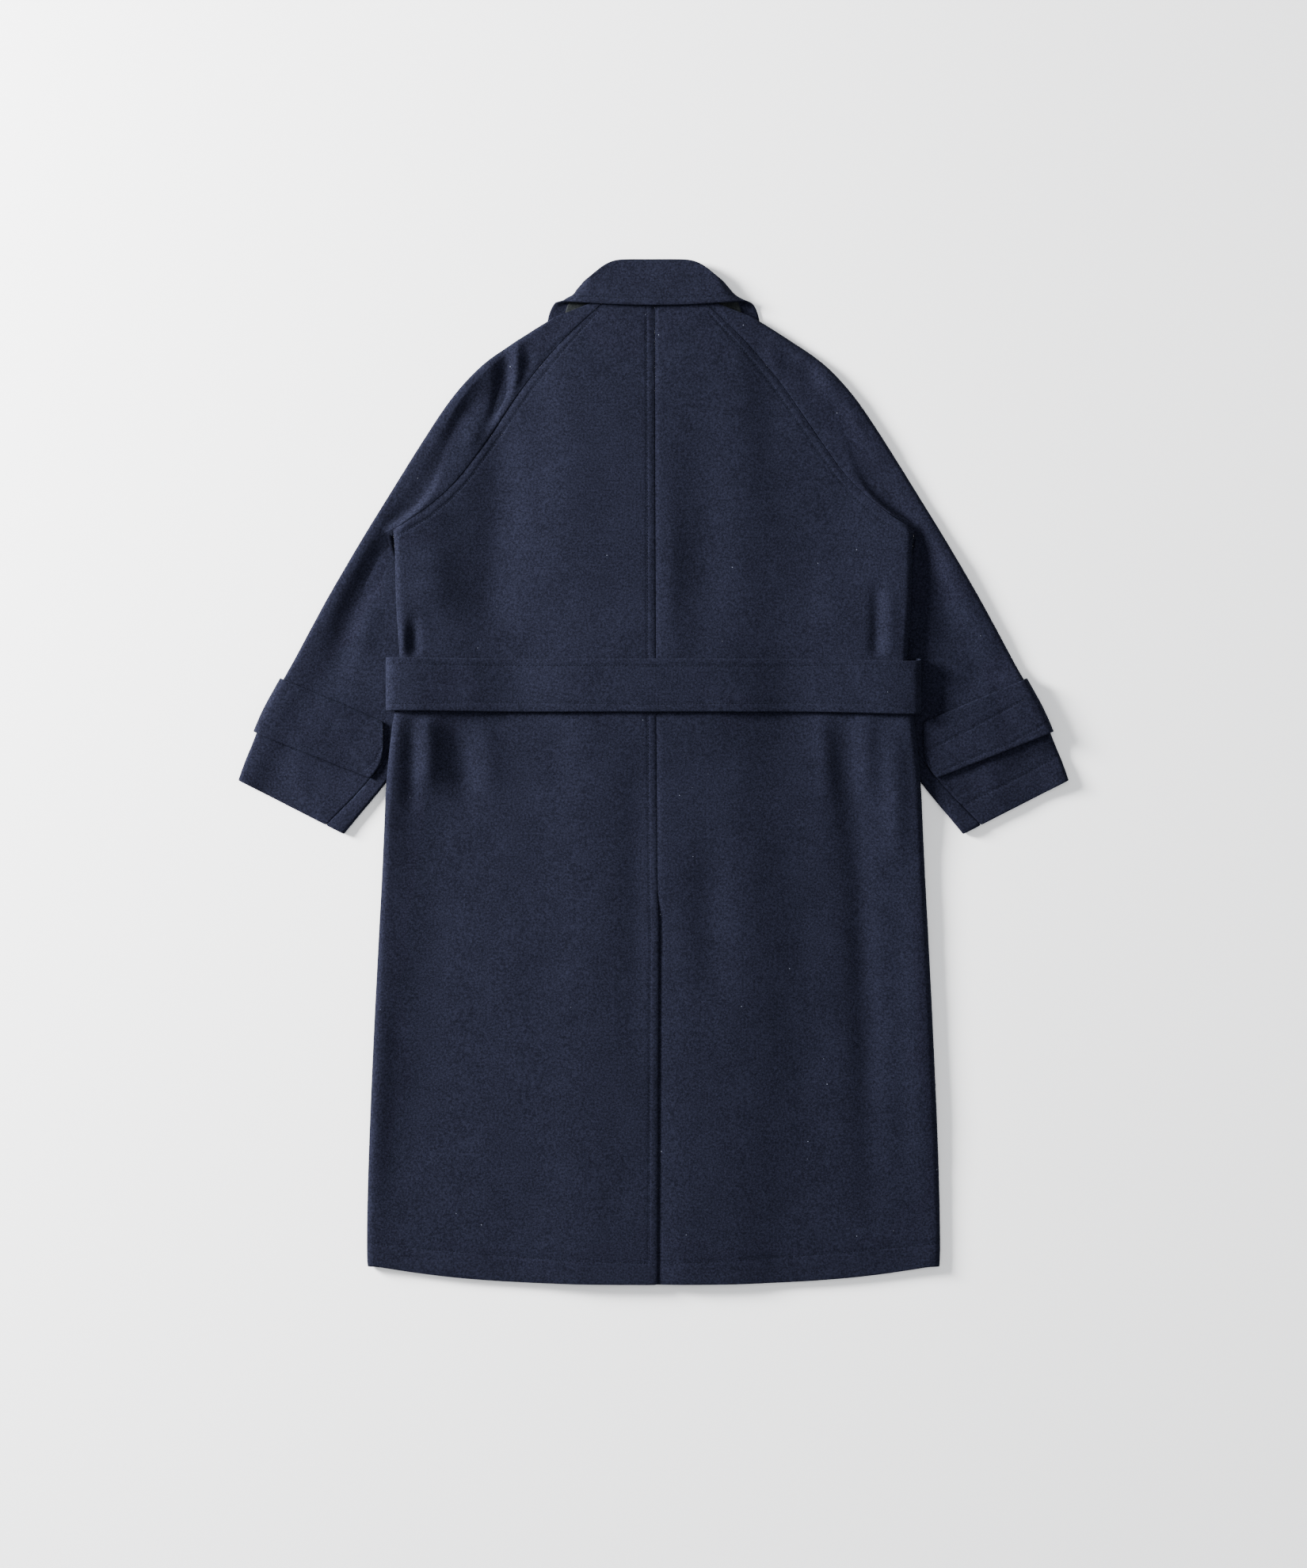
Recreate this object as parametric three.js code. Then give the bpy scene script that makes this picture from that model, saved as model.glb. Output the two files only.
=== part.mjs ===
// Double-breasted wool coat, laid flat with its back up, in millimetres.
// X runs across the coat, Y from the hem to the collar, Z up from the surface that it lies on.
import * as THREE from "three";
import { mergeVertices } from "three/addons/utils/BufferGeometryUtils.js";

// Cloth and seams
const CLOTH = 2.5;
const SEAM_GAP = 0.3;
const HALF_GAP = SEAM_GAP / 2;
const DOUBLED_CLOTH = 4;
const LAYER = CLOTH + SEAM_GAP;

// Heights of the layers that lie on each other
const CENTRE_HEIGHT = 13.6;
const NECK_HEIGHT = 12.6;
const SIDE_HEIGHT = 8.2;
const OVER_SLEEVE = 6.3;
const BODY_FOLD_RADIUS = 9;
const EDGE_STRIP = 0.9;
const SLEEVE_FOLD_RADIUS = 6.5;
const UNDERSLEEVE_FOLD_RADIUS = 4;

// Body
const UNDERARM = { x: 309.3, y: 287.2 };
const HEM_Y = -609.2;
const HEM_RISE = 24;
const HEM_HALF_WIDTH = 342;
const VENT_TOP_Y = -175;
const VENT_UNDERLAP = 42;
const FRONT_OVERLAP = 95;
const NECK_CENTRE_Y = 560;
const FRONT_NECK_RADIUS = 119.8;
const BACK_NECK_Y = 566.2;

// Belt
const BELT_Y = 104;
const BELT_HALF_WIDTH = 31.5;
const BELT_HALF_LENGTH = 318;
const BELT_END_OVERLAP = 32;
const BELT_END_STEPS = [79, 51];

// Buttons
const BUTTON_RADIUS = 13;
const BUTTON_THICKNESS = 3;
const BUTTON_X = 65;
const BUTTON_ROWS_Y = [326, 170, 15];

const COLOURS = { cloth: 0x2a2d40, underside: 0x25282f, button: 0x17181d };

// Half width of the body from the hem to the underarm
const BODY_SIDE = [
  { y: -600, x: 336 },
  { y: -585, x: 341 },
  { y: -564, x: 341.7 },
  { y: -494, x: 340.3 },
  { y: -400, x: 336.5 },
  { y: -306, x: 332.3 },
  { y: -212, x: 327.6 },
  { y: -118, x: 322.4 },
  { y: -24, x: 318.2 },
  { y: 23, x: 313.7 },
  { y: 61, x: 309.5 },
  { y: 100, x: 300 },
  { y: 137, x: 300.8 },
  { y: 181, x: 304.6 },
  { y: 226, x: 306.7 },
  { y: 276, x: 306.9 },
  { y: 287.2, x: 309.3 },
];

// Centre back seam, which leans a little to the right going down
const CENTRE_SEAM = [
  { y: -610, x: 4.7 },
  { y: -180, x: 6.6 },
  { y: -137, x: 4.7 },
  { y: 136, x: 2.8 },
  { y: 566, x: 1.3 },
];

// How far the side fold of the body stands above the panel beside it
const SIDE_PUFF = [
  { y: -600, height: 2 },
  { y: -400, height: 4 },
  { y: 20, height: 5.5 },
  { y: 70, height: 4 },
  { y: 140, height: 4 },
  { y: 190, height: 5 },
  { y: 287, height: 4 },
  { y: 340, height: 0 },
];

// Sections across the sleeve, from the neck to the cuff. outer is on the shoulder or outer fold, inner on the
// raglan seam down to the underarm and then on the inner fold. crease is where the sleeve cloth folds over, as a
// share of the section, and soft is half the width of that step. under is the share of the section that the
// lower wall covers, where it isn't all of it.
const SLEEVE_SECTIONS = [
  { outer: [120, 539], inner: [50, 566], height: 11, creaseLeft: 0.5, creaseRight: 0.5, soft: 30, under: 0.1 },
  { outer: [134.4, 530.6], inner: [102, 519.6], height: 10.5, creaseLeft: 0.5, creaseRight: 0.5, soft: 16, under: 0.7 },
  { outer: [149.5, 521.2], inner: [127, 491.5], height: 10, creaseLeft: 0.5, creaseRight: 0.5, soft: 16 },
  { outer: [179.1, 502.4], inner: [152.3, 461.1], height: 9, creaseLeft: 0.45, creaseRight: 0.5, soft: 16 },
  { outer: [206.3, 483.6], inner: [170, 435], height: 8.5, creaseLeft: 0.35, creaseRight: 0.45, soft: 12 },
  { outer: [240.6, 446], inner: [189, 407], height: 7.5, creaseLeft: 0.25, creaseRight: 0.42, soft: 5 },
  { outer: [265.1, 408.4], inner: [207, 381], height: 6.8, creaseLeft: 0.38, creaseRight: 0.6, soft: 4 },
  { outer: [284, 379], inner: [227.5, 352], height: 6.5, creaseLeft: 0.56, creaseRight: 0.76, soft: 4 },
  { outer: [300.8, 352], inner: [253, 326], height: 6.2, creaseLeft: 0.77, creaseRight: 0.88, soft: 4 },
  { outer: [318, 324], inner: [283, 302.9], height: 5.8, creaseLeft: 0.86, creaseRight: 0.86, soft: 4 },
  { outer: [335.6, 295.6], inner: [309.3, 287.2], height: 5.8, creaseLeft: 0.82, creaseRight: 0.82, soft: 4 },
  { outer: [358.1, 258], inner: [303, 248], height: 5.8 },
  { outer: [374.5, 230], inner: [288, 208], height: 5.8 },
  { outer: [391, 201.6], inner: [271, 165], height: 5.8 },
  { outer: [421.1, 145.2], inner: [272, 88], height: 5.8 },
  { outer: [441.3, 107.6], inner: [285, 48], height: 5.8 },
  { outer: [462, 70], inner: [305, 5], height: 5.8 },
  { outer: [477.5, 32.4], inner: [335, -34.5], height: 6.2 },
  { outer: [486, 13.6], inner: [350.6, -53], height: 6.6 },
  { outer: [494, -9.9], inner: [368, -74.3], height: 7 },
];
const UNDERARM_SECTION = 10;
const UNDERARM_SEAM_HEIGHT = 9.8;
const UNDERSLEEVE_START = 10.2;
const RAGLAN = SLEEVE_SECTIONS.slice(0, UNDERARM_SECTION + 1).map((s) => ({ x: s.inner[0], y: s.inner[1] })).reverse();
const CUFF_SECTION = SLEEVE_SECTIONS.length - 1;

// Largest folds and hollows of the back: a soft trough (negative depth) or ridge along a line
const BACK_FOLDS = [
  { x0: 61, y0: 262, x1: 64, y1: 150, depth: -1.8, width: 14 },
  { x0: 24, y0: 262, x1: 22, y1: 150, depth: 1.6, width: 14 },
  { x0: -190, y0: 450, x1: -196, y1: 190, depth: -2.2, width: 18 },
  { x0: -262, y0: 300, x1: -262, y1: 200, depth: 2, width: 14 },
  { x0: -285, y0: 178, x1: -284, y1: 146, depth: -2, width: 5 },
  { x0: 266, y0: 226, x1: 268, y1: 150, depth: -2, width: 6 },
  { x0: 224, y0: 48, x1: 239, y1: -86, depth: -2.6, width: 11 },
  { x0: 246, y0: -134, x1: 254, y1: -300, depth: -2.2, width: 13 },
  { x0: 200, y0: 40, x1: 206, y1: -60, depth: 2.2, width: 13 },
  { x0: 262, y0: 40, x1: 286, y1: -60, depth: 2, width: 12 },
  { x0: -286, y0: 20, x1: -290, y1: -36, depth: -2, width: 8 },
  { x0: -268, y0: 44, x1: -264, y1: -4, depth: 2.4, width: 8 },
  { x0: -236, y0: 44, x1: -224, y1: -26, depth: -2.4, width: 10 },
  { x0: -16, y0: -30, x1: -14, y1: -160, depth: -1.4, width: 14 },
  { x0: 66, y0: -80, x1: 70, y1: -250, depth: -1.2, width: 16 },
];

// Collar from the centre back round the neck side to the front. fold is the fold line, which is the top of the
// collar, and edge is the free edge of the fall, both on the outer side. stand is the share of that width which the
// stand covers. The turns are the angles that the outer side faces, from straight up (90) to straight down (-90).
const COLLAR_STATIONS = [
  { fold: [0, 609.2, 9], edge: [0, 553.2, 18], stand: 0.75, foldTurn: 90, edgeTurn: 90 },
  { fold: [30, 609.2, 9], edge: [28, 553.6, 18], stand: 0.75, foldTurn: 90, edgeTurn: 90 },
  { fold: [48, 607.5, 9.6], edge: [52, 554.5, 17.6], stand: 0.76, foldTurn: 90, edgeTurn: 90 },
  { fold: [62, 600, 11], edge: [74, 556, 17], stand: 0.76, foldTurn: 90, edgeTurn: 90 },
  { fold: [76, 588, 13], edge: [90, 557, 16.5], stand: 0.74, foldTurn: 55, edgeTurn: 80 },
  { fold: [86, 580, 6.4], edge: [103, 559, 13.5], stand: 0.7, foldTurn: 0, edgeTurn: 50 },
  { fold: [79, 568.5, 0.2], edge: [117, 558, 6.5], stand: 0.6, foldTurn: -80, edgeTurn: 5 },
  { fold: [75, 558, 0], edge: [124, 547, 0.3], stand: 0.6, foldTurn: -90, edgeTurn: -60 },
  { fold: [74, 545, 0], edge: [127, 529, 0], stand: 0.62, foldTurn: -90, edgeTurn: -90 },
  { fold: [66, 520, 0], edge: [118, 490, 0], stand: 0.62, foldTurn: -90, edgeTurn: -90 },
  { fold: [46, 496, 0], edge: [90, 450, 0], stand: 0.58, foldTurn: -90, edgeTurn: -90 },
  { fold: [8, 484, 0], edge: [46, 424, 0], stand: 0.58, foldTurn: -90, edgeTurn: -90 },
];
const COLLAR_SIDE_FACING = new THREE.Vector3(0.6, 0.8, 0);
const COLLAR_LIFT_RADIUS = 160;
const COLLAR_LIFT = CLOTH + 0.4;
const BELT_LIFT = DOUBLED_CLOTH + 0.5;
const BUTTON_LIFT = BUTTON_THICKNESS + 0.4;

// Small tools
const clamp01 = (value) => Math.min(1, Math.max(0, value));
const mix = (a, b, share) => a + (b - a) * share;
const bump = (distance, width) => Math.exp(-((distance / width) ** 2));

function step(from, to, value) {
  const share = clamp01((value - from) / (to - from));
  return share * share * (3 - 2 * share);
}

function lookUp(table, y, column) {
  let i = 0;
  while (i < table.length - 2 && y > table[i + 1].y) {
    i += 1;
  }
  const share = clamp01((y - table[i].y) / (table[i + 1].y - table[i].y));
  return mix(table[i][column], table[i + 1][column], share);
}

const bodyHalfWidth = (y) => lookUp(BODY_SIDE, y, "x");
const raglanHalfWidth = (y) => lookUp(RAGLAN, y, "x");
const centreSeam = (y) => lookUp(CENTRE_SEAM, y, "x");
const hemY = (x) => HEM_Y + HEM_RISE * Math.abs(x / HEM_HALF_WIDTH) ** 3;

// One closed wall between two grids of points with the same rows and columns. Panels that lie on each other are cut
// into triangles along the same diagonals.
function wall(outer, inner, otherDiagonal = false) {
  const rows = outer.length;
  const columns = outer[0].length;
  const at = (side, i, j) => (side * rows + i) * columns + j;
  const index = [];
  const quad = (a, b, c, d) => index.push(a, b, c, a, c, d);
  const face = otherDiagonal ? (a, b, c, d) => quad(b, c, d, a) : quad;
  for (let i = 0; i < rows - 1; i += 1) {
    for (let j = 0; j < columns - 1; j += 1) {
      face(at(0, i, j), at(0, i, j + 1), at(0, i + 1, j + 1), at(0, i + 1, j));
      face(at(1, i, j), at(1, i + 1, j), at(1, i + 1, j + 1), at(1, i, j + 1));
    }
  }
  for (let j = 0; j < columns - 1; j += 1) {
    quad(at(0, 0, j + 1), at(0, 0, j), at(1, 0, j), at(1, 0, j + 1));
    quad(at(0, rows - 1, j), at(0, rows - 1, j + 1), at(1, rows - 1, j + 1), at(1, rows - 1, j));
  }
  for (let i = 0; i < rows - 1; i += 1) {
    quad(at(0, i, 0), at(0, i + 1, 0), at(1, i + 1, 0), at(1, i, 0));
    quad(at(0, i + 1, columns - 1), at(0, i, columns - 1), at(1, i, columns - 1), at(1, i + 1, columns - 1));
  }
  const points = [...outer.flat(), ...inner.flat()];
  if (signedVolume(points, index) < 0) {
    index.reverse();
  }
  const geometry = new THREE.BufferGeometry().setFromPoints(points);
  geometry.setIndex(index);
  return geometry;
}

function signedVolume(points, index) {
  let sum = 0;
  for (let i = 0; i < index.length; i += 3) {
    const [a, b, c] = [points[index[i]], points[index[i + 1]], points[index[i + 2]]];
    sum += a.dot(new THREE.Vector3().crossVectors(b, c));
  }
  return sum / 6;
}

// Normals of a grid of points, from its neighbours
function gridNormals(grid, facing) {
  const last = grid.length - 1;
  const end = grid[0].length - 1;
  return grid.map((row, i) => row.map((_, j) => {
    const along = grid[Math.min(i + 1, last)][j].clone().sub(grid[Math.max(i - 1, 0)][j]);
    const across = row[Math.min(j + 1, end)].clone().sub(row[Math.max(j - 1, 0)]);
    return along.cross(across).normalize().multiplyScalar(facing);
  }));
}

function moved(grid, normals, distance) {
  return grid.map((row, i) => row.map((p, j) => p.clone().addScaledVector(normals[i][j], distance)));
}

// Splines through the two long sides of the sleeve
const sleeveCurve = (side) => new THREE.CatmullRomCurve3(
  SLEEVE_SECTIONS.map((section) => new THREE.Vector3(section[side][0], section[side][1], 0)), false, "centripetal");
const SLEEVE_OUTER = sleeveCurve("outer");
const SLEEVE_INNER = sleeveCurve("inner");

function sleeveColumn(u, column, fallback) {
  const i = Math.min(Math.floor(u), CUFF_SECTION - 1);
  const a = SLEEVE_SECTIONS[i][column] ?? fallback;
  const b = SLEEVE_SECTIONS[i + 1][column] ?? fallback;
  return mix(a, b, u - i);
}

const SLEEVE_UNDER_BODY = { top: 312, fullTop: 268, fullBottom: -15, bottom: -50 };
const HIDDEN_SLEEVE_EDGE = SLEEVE_SECTIONS.slice(UNDERARM_SECTION).map((s) => ({ x: s.inner[0], y: s.inner[1] }))
  .reverse();

// Half width at which the inner fold of the sleeve lies under the body
function hiddenSleeveEdge(y) {
  return lookUp(HIDDEN_SLEEVE_EDGE, y, "x");
}

// How high the sleeve that lies under the body holds it
function sleeveLift(x, y) {
  const edge = hiddenSleeveEdge(y);
  const span = step(SLEEVE_UNDER_BODY.top, SLEEVE_UNDER_BODY.fullTop, y)
    * step(SLEEVE_UNDER_BODY.bottom, SLEEVE_UNDER_BODY.fullBottom, y);
  return OVER_SLEEVE * step(edge - 36, edge - 12, Math.abs(x)) * span;
}

// How high the front part of the collar holds the fronts and sleeves
function collarLift(x, y) {
  return COLLAR_LIFT * step(COLLAR_LIFT_RADIUS + 25, COLLAR_LIFT_RADIUS, Math.hypot(x, y - NECK_CENTRE_Y));
}

// How high the lower side of the fronts is held by all that lies under them
function frontLift(x, y) {
  const out = Math.abs(x);
  const beltThickness = BELT_LIFT * (1 + step(75, 51, out));
  const belt = beltThickness * step(BELT_HALF_WIDTH + 15, BELT_HALF_WIDTH + 1.5, Math.abs(y - BELT_Y));
  const buttons = BUTTON_ROWS_Y.map((rowY) => step(44, 26, Math.hypot(out - BUTTON_X, y - rowY)));
  return sleeveLift(x, y) + Math.max(belt, BUTTON_LIFT * Math.max(...buttons)) + collarLift(x, y);
}

function foldDepth(x, y) {
  let sum = 0;
  for (const fold of BACK_FOLDS) {
    const dx = fold.x1 - fold.x0;
    const dy = fold.y1 - fold.y0;
    const length = Math.hypot(dx, dy);
    const along = ((x - fold.x0) * dx + (y - fold.y0) * dy) / length;
    const across = ((x - fold.x0) * dy - (y - fold.y0) * dx) / length;
    const beyond = Math.max(0, -along, along - length);
    sum += fold.depth * bump(across, fold.width) * bump(beyond, fold.width * 1.5);
  }
  return sum;
}

// Height of the upper side of the back, apart from its rounded side folds
function backHeight(x, y) {
  const out = Math.abs(x);
  const centre = mix(CENTRE_HEIGHT, NECK_HEIGHT, step(440, 500, y));
  const overFronts = mix(centre, SIDE_HEIGHT, step(100, 145, out));
  const edge = hiddenSleeveEdge(y);
  const overSleeve = OVER_SLEEVE * step(edge - 90, edge - 24, out) * step(420, 300, y) * step(-120, -30, y);
  const nearBelt = step(100, 45, Math.abs(y - BELT_Y));
  const overBelt = nearBelt * mix(4.3, 2.2, step(60, 140, out));
  const puff = lookUp(SIDE_PUFF, y, "height") * bump(out - (bodyHalfWidth(y) - 15), 14);
  return overFronts + overSleeve + overBelt + puff + foldDepth(x, y);
}

const foldMiddle = (side, y) => {
  const x = side * (bodyHalfWidth(y) - BODY_FOLD_RADIUS);
  return (backHeight(x, y) + frontLift(x, y)) / 2;
};

// A point on the side fold at an angle above (or below) the seam, with the point on the wall's other side. Both
// follow ellipses with one centre.
function foldPoint(side, y, angle, top) {
  const edge = bodyHalfWidth(y) - BODY_FOLD_RADIUS;
  const middle = foldMiddle(side, y) + top * HALF_GAP;
  const crest = top > 0 ? backHeight(side * edge, y) : frontLift(side * edge, y);
  const rise = Math.abs(crest - middle);
  const at = (depth) => new THREE.Vector3(
    side * (edge + (BODY_FOLD_RADIUS - depth) * Math.cos(angle)), y, middle + top * (rise - depth) * Math.sin(angle));
  return { point: at(0), back: at(CLOTH) };
}

const FOLD_ANGLES = [66, 44, 22, 0].map(THREE.MathUtils.degToRad);

// Rows of points across the body, from the hem up
const LOWER_ROWS = [
  -600, -572, -480, -390, -300, -240, -182, -174, -150, -110, -60, -20, 2, 28, 56, 71, 104, 137, 157, 183, 210, 240,
  265, UNDERARM.y,
];

// Back panels
const BACK_ROWS = [...LOWER_ROWS, 294, ...RAGLAN.slice(1).map((point) => point.y)];
const BACK_COLUMNS = [0.07, 0.17, 0.3, 0.43, 0.55, 0.66, 0.76, 0.85, 0.93, 1];

function backRow(side, y) {
  const belowUnderarm = y <= UNDERARM.y;
  const seam = centreSeam(y) * side + HALF_GAP;
  const trim = FOLD_ANGLES.length * EDGE_STRIP;
  const edge = belowUnderarm ? bodyHalfWidth(y) - BODY_FOLD_RADIUS : raglanHalfWidth(y) - HALF_GAP * 2 - trim;
  const underlap = y < VENT_TOP_Y - 2;
  const drop = y < VENT_TOP_Y + 5 ? LAYER + 0.6 : 0;
  const columns = BACK_COLUMNS.map((share) => ({ out: mix(seam, edge, share), drop: 0 }));
  if (side > 0) {
    columns.unshift({ out: underlap ? seam - 1.5 : seam + 2, drop });
    columns.unshift({ out: underlap ? -VENT_UNDERLAP : seam, drop });
  } else {
    columns.unshift({ out: seam, drop: 0 });
  }
  const rowY = (x) => (y === BACK_ROWS[0] ? hemY(x) : y);
  const outer = columns.map((column) => {
    const x = side * column.out;
    return new THREE.Vector3(x, rowY(x), backHeight(x, rowY(x)) - column.drop);
  });
  const inner = outer.map((p) => new THREE.Vector3(p.x, p.y, p.z - CLOTH));
  FOLD_ANGLES.forEach((angle, i) => {
    if (belowUnderarm) {
      const fold = foldPoint(side, rowY(edge), angle, 1);
      outer.push(fold.point);
      inner.push(fold.back);
    } else {
      const x = side * (edge + EDGE_STRIP * (i + 1));
      outer.push(new THREE.Vector3(x, y, backHeight(x, y)));
      inner.push(new THREE.Vector3(x, y, backHeight(x, y) - CLOTH));
    }
  });
  return { outer, inner };
}

function back(side) {
  const rows = BACK_ROWS.map((y) => backRow(side, y));
  return wall(rows.map((row) => row.outer), rows.map((row) => row.inner));
}

// Fronts, which overlap at the centre. x is measured towards each front's own side.
const FRONT_CENTRE_COLUMNS = [-FRONT_OVERLAP, -79, -51, 0, 51, 79, FRONT_OVERLAP];
const OVERLAP_STEP_END = 125;
const FRONT_SIDE_SHARES = [0.15, 0.42, 0.65, 0.83, 0.94, 1];
const FRONT_NECK_SIDE = { x: 114.6, y: 512 };
const FRONT_UPPER_Y = [...RAGLAN.slice(1).map((point) => point.y).filter((y) => y < 500), FRONT_NECK_SIDE.y];

const frontSideX = (y) => bodyHalfWidth(y) - BODY_FOLD_RADIUS;
const neckEdgeY = (x) => NECK_CENTRE_Y - Math.sqrt(FRONT_NECK_RADIUS ** 2 - x ** 2);

function frontHeight(side, out, y) {
  const overOther = side < 0 ? LAYER * step(OVERLAP_STEP_END, FRONT_OVERLAP, out) : 0;
  return frontLift(side * out, y) + overOther;
}

function frontColumns(y) {
  return [...FRONT_CENTRE_COLUMNS, ...FRONT_SIDE_SHARES.map((share) => mix(FRONT_OVERLAP, frontSideX(y), share))];
}

function frontLowerRow(side, y) {
  const outer = [];
  const inner = [];
  for (const out of frontColumns(y)) {
    const rowY = y === LOWER_ROWS[0] ? hemY(out) : y;
    const z = frontHeight(side, out, rowY);
    outer.push(new THREE.Vector3(side * out, rowY, z));
    inner.push(new THREE.Vector3(side * out, rowY, z + CLOTH));
  }
  for (const angle of FOLD_ANGLES) {
    const fold = foldPoint(side, y === LOWER_ROWS[0] ? hemY(frontSideX(y)) : y, angle, -1);
    outer.push(fold.point);
    inner.push(fold.back);
  }
  return { outer, inner };
}

// Above the underarm each row runs from the front edge to the raglan seam, and the last one is the neckline
function frontUpperRow(side, raglanY) {
  const share = (raglanY - UNDERARM.y) / (FRONT_NECK_SIDE.y - UNDERARM.y);
  const points = FRONT_CENTRE_COLUMNS.map((x) => [x, mix(UNDERARM.y, neckEdgeY(x), share)]);
  const [fromX, fromY] = points.at(-1);
  const toX = (share === 1 ? FRONT_NECK_SIDE.x : raglanHalfWidth(raglanY)) - HALF_GAP * 2;
  const sideShares = [...FRONT_SIDE_SHARES, ...FOLD_ANGLES.map((_, i) => 1 + (i + 1) * 0.01)];
  for (const along of sideShares) {
    const reach = along / sideShares.at(-1);
    points.push([mix(fromX, toX, reach), mix(fromY, raglanY, reach)]);
  }
  const outer = points.map(([x, y]) => new THREE.Vector3(side * x, y, frontHeight(side, x, y)));
  return { outer, inner: outer.map((p) => new THREE.Vector3(p.x, p.y, p.z + CLOTH)) };
}

function front(side) {
  const rows = LOWER_ROWS.map((y) => frontLowerRow(side, y));
  rows.push(...FRONT_UPPER_Y.map((y) => frontUpperRow(side, y)));
  return wall(rows.map((row) => row.outer), rows.map((row) => row.inner), side < 0);
}

// Sleeves. d is the distance from the outer fold along a section.
const SLEEVE_ROWS = [
  0, 1, 2, 3, 4, 5, 6, 7, 8, 9, 10, 10.2, 10.5, 11, 12, 13, 14, 14.45, 14.85, 15.3, 15.8, 16.3, 16.75, 17.2, 18, 19,
];
const SLEEVE_OUTER_PUFF = 4;
const STRAP_SPAN = { from: 14.95, to: 16.6 };
const STRAP_INNER_X = 321;
const STRAP_UNDER_REACH = 40;
const STRAP_CLEARANCE = 0.5;
const STRAP_LIFT = DOUBLED_CLOTH + STRAP_CLEARANCE;

function sleeveSection(u) {
  const outer = SLEEVE_OUTER.getPoint(u / CUFF_SECTION);
  const inner = SLEEVE_INNER.getPoint(u / CUFF_SECTION);
  const width = outer.distanceTo(inner);
  return { u, outer, width, direction: inner.clone().sub(outer).divideScalar(width), inner };
}

// The cuff strap lies under the outer fold too and holds it up
const strapShare = (u) => step(STRAP_SPAN.from - 0.5, STRAP_SPAN.from - 0.1, u)
  * step(STRAP_SPAN.to + 0.6, STRAP_SPAN.to + 0.15, u);

function sleeveTop(section, d, side) {
  const { u, inner, width } = section;
  const overStrap = STRAP_LIFT * strapShare(u) * step(108, 62, d);
  const low = sleeveColumn(u, "height", 0) + SLEEVE_OUTER_PUFF * bump(d - 12, 13) * step(0.5, 5, u) + overStrap;
  const cuffPuff = 2 * bump(width - d - 10, 9) * step(16, 18, u);
  if (u > UNDERARM_SECTION) {
    return low + cuffPuff;
  }
  const seam = mix(backHeight(side * inner.x, inner.y), UNDERARM_SEAM_HEIGHT, step(305, 289, inner.y));
  const crease = sleeveColumn(u, side < 0 ? "creaseLeft" : "creaseRight", 0.8);
  const soft = sleeveColumn(u, "soft", 4) / width;
  return mix(low, seam, step(crease - soft, crease + soft, d / width));
}

function sleeveBottom(section, d, side) {
  const { u, outer, direction, width } = section;
  const x = side * (outer.x + direction.x * d);
  const y = outer.y + direction.y * d;
  const strapLift = STRAP_LIFT * strapShare(u) * step(STRAP_UNDER_REACH + 30, STRAP_UNDER_REACH + 4, d);
  if (u > UNDERARM_SECTION) {
    return strapLift;
  }
  return mix(collarLift(x, y), frontLift(x, y), step(0.5, 1, d / width)) + strapLift;
}

function sleevePoint(section, d, z, side) {
  return new THREE.Vector3(
    side * (section.outer.x + section.direction.x * d), section.outer.y + section.direction.y * d, z);
}

// A point on the outer or inner fold of the sleeve, with the point on the wall's other side
function sleeveFoldPoint(section, side, angle, fold) {
  const atInner = fold === "inner";
  const radius = atInner ? UNDERSLEEVE_FOLD_RADIUS : SLEEVE_FOLD_RADIUS;
  const edge = atInner ? section.width - radius : radius;
  const top = sleeveTop(section, edge, side);
  const bottom = sleeveBottom(section, edge, side);
  const rise = (top - bottom) / 2;
  const at = (depth) => {
    const reach = (radius - depth) * Math.cos(angle);
    const z = (top + bottom) / 2 + (rise - depth) * Math.sin(angle);
    return sleevePoint(section, atInner ? edge + reach : edge - reach, z, side);
  };
  return { point: at(0), back: at(CLOTH) };
}

const SLEEVE_ANGLES = [64, 32, 0, -32, -64].map(THREE.MathUtils.degToRad);
const TOP_SHARES = [1, 0.86, 0.7, 0.52, 0.36, 0.22, 0.1, 0];

function bottomColumns(end, u) {
  const start = SLEEVE_FOLD_RADIUS;
  const second = u > 12 ? STRAP_UNDER_REACH + 4 : mix(start, end, 0.3);
  return [start, second, mix(second, end, 0.5), end];
}

// Distance of the undersleeve's seams from the inner fold
const undersleeveReach = (u) => mix(5, 24, clamp01((u - UNDERSLEEVE_START) / (CUFF_SECTION - UNDERSLEEVE_START)));

function topColumns(section, side) {
  const { u, width } = section;
  const seamInset = u > UNDERARM_SECTION ? undersleeveReach(u) + HALF_GAP : HALF_GAP * 2;
  const end = width - seamInset;
  if (u > UNDERARM_SECTION) {
    return TOP_SHARES.map((share) => mix(SLEEVE_FOLD_RADIUS, end, share));
  }
  const crease = sleeveColumn(u, side < 0 ? "creaseLeft" : "creaseRight", 0.8) * width;
  const soft = sleeveColumn(u, "soft", 4);
  const high = Math.min(crease + soft, end - 1.5);
  const low = Math.min(crease - soft, high - 3);
  const start = SLEEVE_FOLD_RADIUS;
  const first = Math.max(low, start + 3);
  return [end, mix(high, end, 0.5), high, mix(first, high, 0.5), first, mix(start, first, 0.66), mix(start, first, 0.33),
    start];
}

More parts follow.
